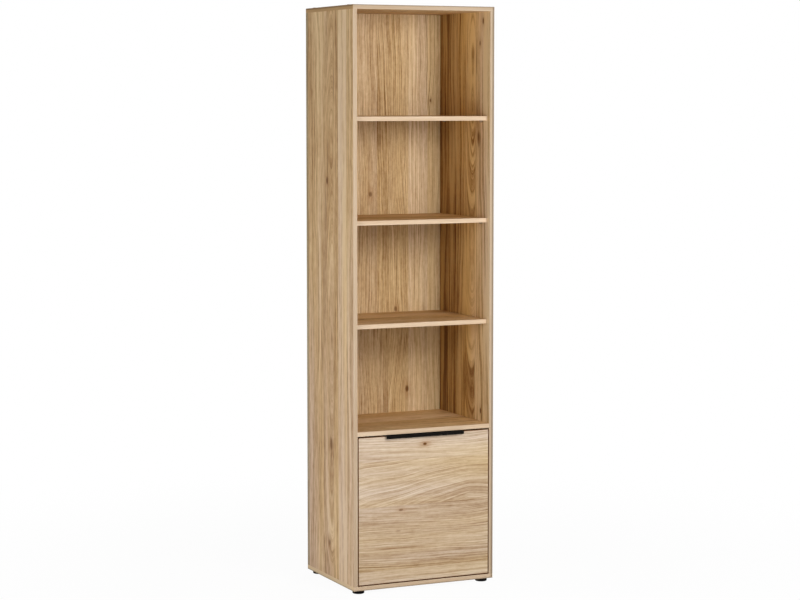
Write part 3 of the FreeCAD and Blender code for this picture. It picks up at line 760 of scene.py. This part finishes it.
def solid_boxes(name):
    """The lowest and highest corner of each separate solid in a CAD node."""
    shape = bmesh.new()
    shape.from_mesh(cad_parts[name].data)
    bmesh.ops.remove_doubles(shape, verts=shape.verts, dist=0.002 * MM)
    waiting = set(shape.verts)
    boxes = []
    while waiting:
        reached = [waiting.pop()]
        corners = []
        while reached:
            vertex = reached.pop()
            corners.append(vertex.co.copy())
            for edge in vertex.link_edges:
                other = edge.other_vert(vertex)
                if other in waiting:
                    waiting.remove(other)
                    reached.append(other)
        low = Vector(min(corner[axis] for corner in corners) for axis in range(3))
        high = Vector(max(corner[axis] for corner in corners) for axis in range(3))
        boxes.append((low, high))
    shape.free()
    return sorted(boxes, key=lambda pair: tuple(pair[0]))


def turned(shape, profile, steps):
    """Add a turned form about Z from its profile of radius and height, closed at both poles."""
    corners = [shape.verts.new((radius, 0.0, height)) for radius, height in profile]
    edges = [shape.edges.new(pair) for pair in zip(corners[:-1], corners[1:])]
    bmesh.ops.spin(shape, geom=corners + edges, cent=(0, 0, 0), axis=(0, 0, 1), angle=math.tau, steps=steps,
                   use_merge=True)
    bmesh.ops.remove_doubles(shape, verts=shape.verts, dist=0.001 * MM)
    bmesh.ops.recalc_face_normals(shape, faces=shape.faces)


def object_from(shape, name):
    mesh = bpy.data.meshes.new(name)
    shape.to_mesh(mesh)
    shape.free()
    piece = bpy.data.objects.new(name, mesh)
    bpy.context.scene.collection.objects.link(piece)
    return piece


def cross_cutter(name, size, depth, top):
    """Two crossed blades, tapered towards the tip, that cut the drive recess of a screw."""
    shape = bmesh.new()
    for turn in (0.0, math.pi / 2):
        place = Matrix.Translation((0, 0, top)) @ Matrix.Rotation(turn, 4, "Z")
        blade = bmesh.ops.create_cube(shape, size=1.0, matrix=place)["verts"]
        for vertex in blade:
            local = place.inverted() @ vertex.co
            narrow = BLADE_TIP if local.z < 0 else 1.0
            local = Vector((local.x * size * narrow, local.y * size * BLADE_THICKNESS, local.z * 2 * depth))
            vertex.co = place @ local
    return object_from(shape, name)


def screw_mesh(name, head_radius, head_height, shaft_radius, length, drive):
    """One screw whose head's seat is at the origin and whose head points along Z, with a cross recess."""
    shape = bmesh.new()
    dome = [(head_radius * math.sin(turn), head_height * (HEAD_RIM + HEAD_DOME * math.cos(turn)))
            for turn in DOME_TURNS]
    shaft = [(head_radius, 0.0), (shaft_radius, 0.0), (shaft_radius, -length + POINT_LENGTH * shaft_radius)]
    point = [(POINT_RADIUS * shaft_radius, -length), (0.0, -length)]
    turned(shape, dome + shaft + point, steps=32)
    screw = object_from(shape, name + "_blank")
    cutter = cross_cutter(name + "_cutter", drive, DRIVE_DEPTH * head_height, head_height)
    cut = screw.modifiers.new("drive", "BOOLEAN")
    cut.operation = "DIFFERENCE"
    cut.object = cutter
    cut.use_self = True
    mesh = bpy.data.meshes.new_from_object(screw.evaluated_get(bpy.context.evaluated_depsgraph_get()))
    for spare in (screw, cutter):
        bpy.data.objects.remove(spare)
    return mesh


def driven_screws(name, node, body, way, material, head_height, thickness):
    """Screws with drive recesses in place of a node's plain ones. Their heads point along the way given."""
    boxes = solid_boxes(node)
    shape = bmesh.new()
    axis = max(range(3), key=lambda index: abs(way[index]))
    side = (axis + 1) % 3
    low, high = boxes[0]
    head_radius = (high[side] - low[side]) / 2
    length = high[axis] - low[axis] - head_height
    screw = screw_mesh(name, head_radius, head_height, thickness / 2, length, DRIVE_WIDTH * head_radius * 2)
    turn = Vector((0, 0, 1)).rotation_difference(Vector(way)).to_matrix().to_4x4()
    for low, high in boxes:
        seat = (low + high) / 2
        top = high[axis] if way[axis] > 0 else low[axis]
        seat[axis] = top - way[axis] * head_height
        copy = screw.copy()
        copy.transform(Matrix.Translation(seat) @ turn)
        shape.from_mesh(copy)
        bpy.data.meshes.remove(copy)
    bpy.data.meshes.remove(screw)
    piece = object_from(shape, name)
    piece.data.materials.append(material)
    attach(piece, body)
    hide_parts(node)


def colour_setting(name, description, default):
    return bpy.props.FloatVectorProperty(name=name, description=description, subtype="COLOR", default=default)


def length_setting(name, description, default):
    return bpy.props.FloatProperty(name=name, description=description, subtype="DISTANCE", default=default)


def number_setting(name, description, default):
    return bpy.props.FloatProperty(name=name, description=description, default=default)


class OakSettings(bpy.types.PropertyGroup):
    """Colours and sizes of the oak decor and of its edge bands."""

    dark: colour_setting("Dark", "Darkest streaks of the grain", (0.24, 0.125, 0.05))
    brown: colour_setting("Brown", "Brown streaks of the grain", (0.455, 0.30, 0.17))
    middle: colour_setting("Middle", "Middle tone of the oak", (0.57, 0.408, 0.262))
    light: colour_setting("Light", "Light streaks of the grain", (0.665, 0.505, 0.35))
    cream: colour_setting("Cream", "Lightest streaks of the grain", (0.80, 0.655, 0.48))
    golden_tint: colour_setting("Golden tint", "Tint of golden planks", (1.0, 0.925, 0.72))
    grey_tint: colour_setting("Grey tint", "Tint of greyish planks", (1.0, 0.975, 1.0))
    knot: colour_setting("Knot", "Heart of a knot", (0.125, 0.042, 0.006))
    stain: colour_setting("Stain", "Wood round a knot", (0.33, 0.155, 0.05))
    band_light: colour_setting("Band, light", "Light tone of the edge band", (0.80, 0.62, 0.44))
    band_dark: colour_setting("Band, dark", "Grain of the edge band", (0.68, 0.49, 0.32))
    frame_level: number_setting("Frame band level", "Lightness of the frame's bands", 0.71)
    shelf_level: number_setting("Shelf band level", "Lightness of the shelves' bands", 0.87)
    # The door's bands are kept darker partly as painted shade in the gap round the door
    door_level: number_setting("Door band level", "Lightness of the door's bands", 0.6)
    bottom_share: number_setting(
        "Bottom band share", "Lightness of the bottom's bands, as a share of the frame's", 1.14)
    # Painted shade in the gap round the door: tint of the corner behind the gap and of the door's bands
    gap_shade_tint: colour_setting("Gap shade tint", "Tint of the surfaces in the gap round the door", (0.42, 0.22, 0.09))
    top_end_tint: colour_setting(
        "Top end tint", "Tint of the bands on the ends of the top", (0.93, 0.76, 0.5))
    bottom_end_tint: colour_setting(
        "Bottom end tint", "Tint of the bands on the ends of the bottom", (1.29, 1.31, 1.22))
    flake_light: colour_setting("Flake, light", "Pale flakes of raw board", (0.60, 0.45, 0.29))
    flake_dark: colour_setting("Flake, dark", "Dark flakes of raw board", (0.33, 0.21, 0.12))
    fibreboard: colour_setting("Fibreboard", "Rear of the back panel", (0.42, 0.28, 0.17))
    wander: length_setting("Wander", "How far the grain wanders sideways", 70.0 * MM)
    ripple: length_setting("Ripple", "How far the grain ripples sideways", 3.5 * MM)
    rise: length_setting("Rise", "How far a plank lies off its heart", 90.0 * MM)
    # Painted shade of the bays on the inside of the right wall: its tint, the depth where it is full and its
    # darkening
    inner_shade_tint: colour_setting("Inner shade tint", "Richer tone of the wall seen in the bays", (1.04, 0.885, 0.55))
    inner_shade_depth: length_setting("Inner shade depth", "Depth at which the richer tone is full", 200.0 * MM)
    inner_shade: number_setting("Inner shade", "How much darker the wall in the bays is at the back", 0.33)
    outer_contrast: number_setting(
        "Outer contrast", "Contrast of the rings outside on the right, as a share of the inside", 0.6)
    # Painted edge shade: width and tint of the darker strip at the rear edges
    rear_shade_width: length_setting("Rear shade", "Width of the darker strip at the rear edges", 22.0 * MM)
    rear_shade_tint: colour_setting("Rear shade tint", "Tint of the darker strip at the rear edges", (0.57, 0.62, 0.64))
    # Painted edge shade along the frame's outer edges
    outline: length_setting(
        "Outline", "Width of the dark line along the outer edges of the frame's bands", 3.6 * MM)
    outline_shade: number_setting("Outline shade", "How much darker that line is than its band", 0.42)
    right_line: number_setting("Right line", "How much wider the dark line is on the right edge", 2.3)
    end_line: number_setting("End line", "How much wider the dark line is on the ends of the top", 1.8)


class FittingSettings(bpy.types.PropertyGroup):
    """Colours and sizes of the handle, the feet and the metal fittings."""

    handle: colour_setting("Handle", "Powder coat of the handle", (0.0045, 0.0036, 0.003))
    foot: colour_setting("Foot", "Plastic of the feet", (0.004, 0.0034, 0.003))
    cap: colour_setting("Cap", "Plastic of the caps and stops", (0.42, 0.27, 0.14))
    nickel: colour_setting("Nickel", "Plating of the hinges", (0.62, 0.60, 0.56))
    pin: colour_setting("Pin", "Dull plating of the shelf pins", (0.48, 0.39, 0.29))
    zinc: colour_setting("Zinc", "Plating of screws and bracket", (0.36, 0.37, 0.39))
    beech: colour_setting("Beech", "Wood of the dowels", (0.62, 0.42, 0.24))
    band_ease: length_setting("Eased edge", "Radius of the trimmed edge bands", 0.2 * MM)


class StageSettings(bpy.types.PropertyGroup):
    """Camera, lamps and floor."""

    eye: bpy.props.FloatVectorProperty(
        name="Eye", description="Place of the camera", subtype="TRANSLATION",
        default=(-3.2179, -6.9556, 1.6888))
    turn: bpy.props.FloatProperty(
        name="Turn", description="Angle of the view round the object", subtype="ANGLE",
        default=math.radians(24.828))
    tilt: bpy.props.FloatProperty(
        name="Tilt", description="Angle of the view below the horizon", subtype="ANGLE",
        default=math.radians(4.838))
    lens: number_setting("Lens", "Focal length in millimetres", 98.935)
    shift: number_setting("Shift", "Rise of the lens", -0.02)
    ambient: number_setting("Ambient", "Level of the light from all round", 0.02)
    light: number_setting("Light", "Level of all lamps, as a share of their powers", 1.0)
    floor: colour_setting("Floor", "Colour of the floor", (0.8, 0.8, 0.8))
    shadow: number_setting("Shadow", "How much of the shadow is seen under the object", 0.04)
    shadow_ends: bpy.props.FloatVectorProperty(
        name="Shadow ends", description="How far from the middle the shadow starts to fade and is gone",
        unit="LENGTH", size=2, default=(0.5, 2.5))


class BOOKCASE_OT_case(bpy.types.Operator):
    """Give the boards of the case their oak decor"""

    bl_idname = "bookcase.case"
    bl_label = "Case boards"

    def execute(self, context):
        oak = context.scene.bookcase_oak
        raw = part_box("side_panel_left")[1].y - JUST_INSIDE
        dress(oak_decor("oak left side", LEFT_SIDE, oak, raw), "side_panel_left")
        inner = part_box("side_panel_right")[0].x + JUST_INSIDE
        door_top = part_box("door_panel")[1]
        # Highest corner of the painted shade behind the door's gap
        gap = Vector((inner, door_top.y, door_top.z))
        dress(oak_decor("oak right side", RIGHT_SIDE, oak, raw, inner, gap), "side_panel_right")
        dress(oak_decor("oak top", TOP, oak, raw), "top_panel")
        dress(oak_decor("oak bottom", BOTTOM, oak, raw, gap=gap), "bottom_panel")
        dress(oak_decor("oak fixed shelf", FIXED_SHELF, oak), "fixed_shelf")
        dress(oak_decor("oak loose shelf", LOOSE_SHELF, oak), "shelf_lower", "shelf_upper")
        dress(oak_decor("oak middle shelf", MIDDLE_SHELF, oak), "shelf_middle")
        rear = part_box("back_panel")[1].y - JUST_INSIDE
        dress(fibreboard_rear("oak back", BACK, oak, rear), "back_panel")
        return {"FINISHED"}


class BOOKCASE_OT_door(bpy.types.Operator):
    """Give the door its oak decor"""

    bl_idname = "bookcase.door"
    bl_label = "Door"

    def execute(self, context):
        dress(oak_decor("oak door", DOOR, context.scene.bookcase_oak), "door_panel")
        return {"FINISHED"}


class BOOKCASE_OT_bands(bpy.types.Operator):
    """Finish the edge bands and ease their edges"""

    bl_idname = "bookcase.bands"
    bl_label = "Edge bands"

    def execute(self, context):
        oak = context.scene.bookcase_oak
        ease = context.scene.bookcase_fittings.band_ease
        level = oak.frame_level
        low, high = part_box("top_edge_bands")
        corners = (Vector((low.x, low.y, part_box("bottom_edge_bands")[0].z)), high)
        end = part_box("top_panel")[1].x
        top_end = BandEnd(end, Y, oak.top_end_tint, oak.end_line)
        dress(band_finish("band top", oak, X, level, corners, top_end), "top_edge_bands")
        bottom_end = BandEnd(end, Y, oak.bottom_end_tint)
        bottom_level = oak.bottom_share * level
        dress(band_finish("band bottom", oak, X, bottom_level, corners, bottom_end), "bottom_edge_bands")
        door_end = BandEnd(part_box("door_panel")[1].x, Z)
        # The door's bands carry painted shade of the gap round the door, through their low level and the
        # gap's tint
        door = band_finish("band door", oak, X, oak.door_level, end=door_end, tint=oak.gap_shade_tint)
        dress(door, "door_edge_bands")
        side = band_finish("band side", oak, Z, level, corners)
        dress(side, "side_edge_band_left", "side_edge_band_right")
        shelf = band_finish("band shelf", oak, X, oak.shelf_level)
        dress(shelf, "fixed_shelf_edge_band", "shelf_edge_band_lower", "shelf_edge_band_middle",
              "shelf_edge_band_upper")
        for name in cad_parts:
            if "edge_band" in name and name not in ("top_edge_bands", "bottom_edge_bands"):
                ease_edges(name, ease)
        return {"FINISHED"}


class BOOKCASE_OT_handle(bpy.types.Operator):
    """Finish the edge handle and its screws"""

    bl_idname = "bookcase.handle"
    bl_label = "Handle"

    def execute(self, context):
        coat = plain_finish("black powder coat", context.scene.bookcase_fittings.handle, POWDER_COAT)
        dress(coat, "handle")
        driven_screws("handle_pan_screws", "handle_screws", "door", (0, 1, 0), coat,
                      head_height=2.2 * MM, thickness=3.5 * MM)
        return {"FINISHED"}


class BOOKCASE_OT_feet(bpy.types.Operator):
    """Finish the feet and their screws"""

    bl_idname = "bookcase.feet"
    bl_label = "Feet"

    def execute(self, context):
        fittings = context.scene.bookcase_fittings
        plastic = plain_finish("black foot plastic", fittings.foot, FOOT_PLASTIC)
        feet = [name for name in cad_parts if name.startswith("foot_") and name != "foot_screws"]
        dress(plastic, *feet)
        zinc = plain_finish("foot screw zinc", fittings.zinc, SCREW_PLATE)
        driven_screws("foot_pan_screws", "foot_screws", "case", (0, 0, -1), zinc,
                      head_height=2.5 * MM, thickness=4.0 * MM)
        return {"FINISHED"}


class BOOKCASE_OT_hinges(bpy.types.Operator):
    """Finish the hinges and their screws"""

    bl_idname = "bookcase.hinges"
    bl_label = "Hinges"

    def execute(self, context):
        nickel = plain_finish("hinge nickel", context.scene.bookcase_fittings.nickel, HINGE_PLATE)
        dress(nickel, *(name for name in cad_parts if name.startswith("hinge_")))
        driven_screws("hinge_plate_pan_screws", "hinge_plate_screws", "case", (-1, 0, 0), nickel,
                      head_height=2.2 * MM, thickness=5.0 * MM)
        driven_screws("hinge_arm_pan_screws", "hinge_arm_screws", "case", (-1, 0, 0), nickel,
                      head_height=2.0 * MM, thickness=5.0 * MM)
        driven_screws("hinge_cup_pan_screws", "hinge_cup_screws", "door", (0, 1, 0), nickel,
                      head_height=2.2 * MM, thickness=3.5 * MM)
        return {"FINISHED"}


class BOOKCASE_OT_fasteners(bpy.types.Operator):
    """Finish the pins, cams, dowels, case screws, caps, stops and the wall bracket"""

    bl_idname = "bookcase.fasteners"
    bl_label = "Fasteners"

    def execute(self, context):
        fittings = context.scene.bookcase_fittings
        zinc = plain_finish("zinc plate", fittings.zinc, DULL_PLATE)
        dress(zinc, "wall_bracket", "cam_housings", "cam_bolts", "case_screws_top", "case_screws_bottom")
        dress(plain_finish("pin nickel", fittings.pin, DULL_PLATE), "shelf_pins")
        dress(plain_finish("brown cap plastic", fittings.cap, CAP_PLASTIC), "screw_caps", "door_stops")
        dress(plain_finish("beech dowel", fittings.beech, BEECH), "wood_dowels")
        driven_screws("wall_bracket_pan_screws", "wall_bracket_screws", "case", (0, 0, 1), zinc,
                      head_height=2.2 * MM, thickness=4.0 * MM)
        return {"FINISHED"}


class BOOKCASE_OT_stage(bpy.types.Operator):
    """Set up the floor, the lamps, the world and the camera"""

    bl_idname = "bookcase.stage"
    bl_label = "Stage"

    def execute(self, context):
        stage = context.scene.bookcase_stage
        make_floor(stage)
        make_world(stage)
        middle = (cad_low + cad_high) / 2
        for lamp in LAMPS:
            make_lamp(lamp, stage.light, middle)
        make_camera(stage)
        context.scene.view_settings.view_transform = "Standard"
        return {"FINISHED"}


def seen_share(finish):
    """1 for what the camera sees straight, in a gloss or through glass, and 0 for light on other things."""
    path = finish.node("LightPath").socket.node.outputs
    seen = Link(finish, path["Is Camera Ray"])
    for name in ("Is Glossy Ray", "Is Transmission Ray"):
        seen = finish.maths("MAXIMUM", seen, Link(finish, path[name]))
    return seen


def make_floor(stage):
    """Pale floor that reads as white and keeps a faint shadow of the object."""
    shape = bmesh.new()
    bmesh.ops.create_grid(shape, x_segments=1, y_segments=1, size=30.0)
    floor = object_from(shape, "floor")
    finish = Finish(bpy.data.materials.new("floor"))
    finish.colour(stage.floor)
    finish.set(Roughness=0.9, Specular_IOR_Level=0.1)
    glow = finish.node("Emission", values={"Color": (1, 1, 1, 1), "Strength": 1.0})
    x, y, _ = finish.place()
    away = (x.squared() + y.squared()).maths("SQRT").between(*stage.shadow_ends)
    share = seen_share(finish) * (away * stage.shadow + (1.0 - stage.shadow))
    lit = Link(finish, finish.surface.outputs[0])
    mixed = finish.node("MixShader", values={0: share, 1: lit, 2: glow})
    finish.feed(finish.tree.nodes["Material Output"].inputs["Surface"], mixed)
    floor.data.materials.append(finish.owner)


def make_world(stage):
    """Even light from all round, white where the camera sees it."""
    world = bpy.data.worlds.new("studio")
    bpy.context.scene.world = world
    finish = Finish(world)
    background = finish.tree.nodes["Background"]
    background.inputs["Color"].default_value = (1, 1, 1, 1)
    seen = seen_share(finish)
    finish.feed(background.inputs["Strength"], seen * (1.0 - stage.ambient) + stage.ambient)


def make_lamp(lamp, level, aim):
    """Square soft lamp turned towards an aim."""
    data = bpy.data.lights.new(lamp.name, "AREA")
    data.energy = lamp.power * level
    data.size = lamp.side
    holder = bpy.data.objects.new(lamp.name, data)
    holder.location = lamp.place
    holder.rotation_euler = (aim - holder.location).to_track_quat("-Z", "Y").to_euler()
    bpy.context.scene.collection.objects.link(holder)


def make_camera(stage):
    data = bpy.data.cameras.new("camera")
    data.lens = stage.lens
    data.shift_y = stage.shift
    camera = bpy.data.objects.new("camera", data)
    camera.location = stage.eye
    camera.rotation_euler = (math.pi / 2 - stage.tilt, 0.0, -stage.turn)
    bpy.context.scene.collection.objects.link(camera)
    bpy.context.scene.camera = camera


class BOOKCASE_PT_panel(bpy.types.Panel):
    """The steps that make the bookcase, with their settings"""

    bl_idname = "BOOKCASE_PT_panel"
    bl_label = "Bookcase"
    bl_space_type = "VIEW_3D"
    bl_region_type = "UI"
    bl_category = "Bookcase"

    def draw(self, context):
        for group in SETTINGS:
            settings = getattr(context.scene, group)
            for name in settings.__annotations__:
                self.layout.prop(settings, name)
        for step in STEPS:
            self.layout.operator(step.bl_idname)


SETTINGS = {
    "bookcase_oak": OakSettings,
    "bookcase_fittings": FittingSettings,
    "bookcase_stage": StageSettings,
}
STEPS = (
    BOOKCASE_OT_case,
    BOOKCASE_OT_door,
    BOOKCASE_OT_bands,
    BOOKCASE_OT_handle,
    BOOKCASE_OT_feet,
    BOOKCASE_OT_hinges,
    BOOKCASE_OT_fasteners,
    BOOKCASE_OT_stage,
)


def register():
    for kind in (*SETTINGS.values(), *STEPS, BOOKCASE_PT_panel):
        bpy.utils.register_class(kind)
    for name, kind in SETTINGS.items():
        setattr(bpy.types.Scene, name, bpy.props.PointerProperty(type=kind))


def unregister():
    for name in SETTINGS:
        delattr(bpy.types.Scene, name)
    for kind in (BOOKCASE_PT_panel, *reversed(STEPS), *SETTINGS.values()):
        bpy.utils.unregister_class(kind)


def main():
    register()
    for step in STEPS:
        group, name = step.bl_idname.split(".")
        getattr(getattr(bpy.ops, group), name)()


if __name__ == "__main__":
    main()
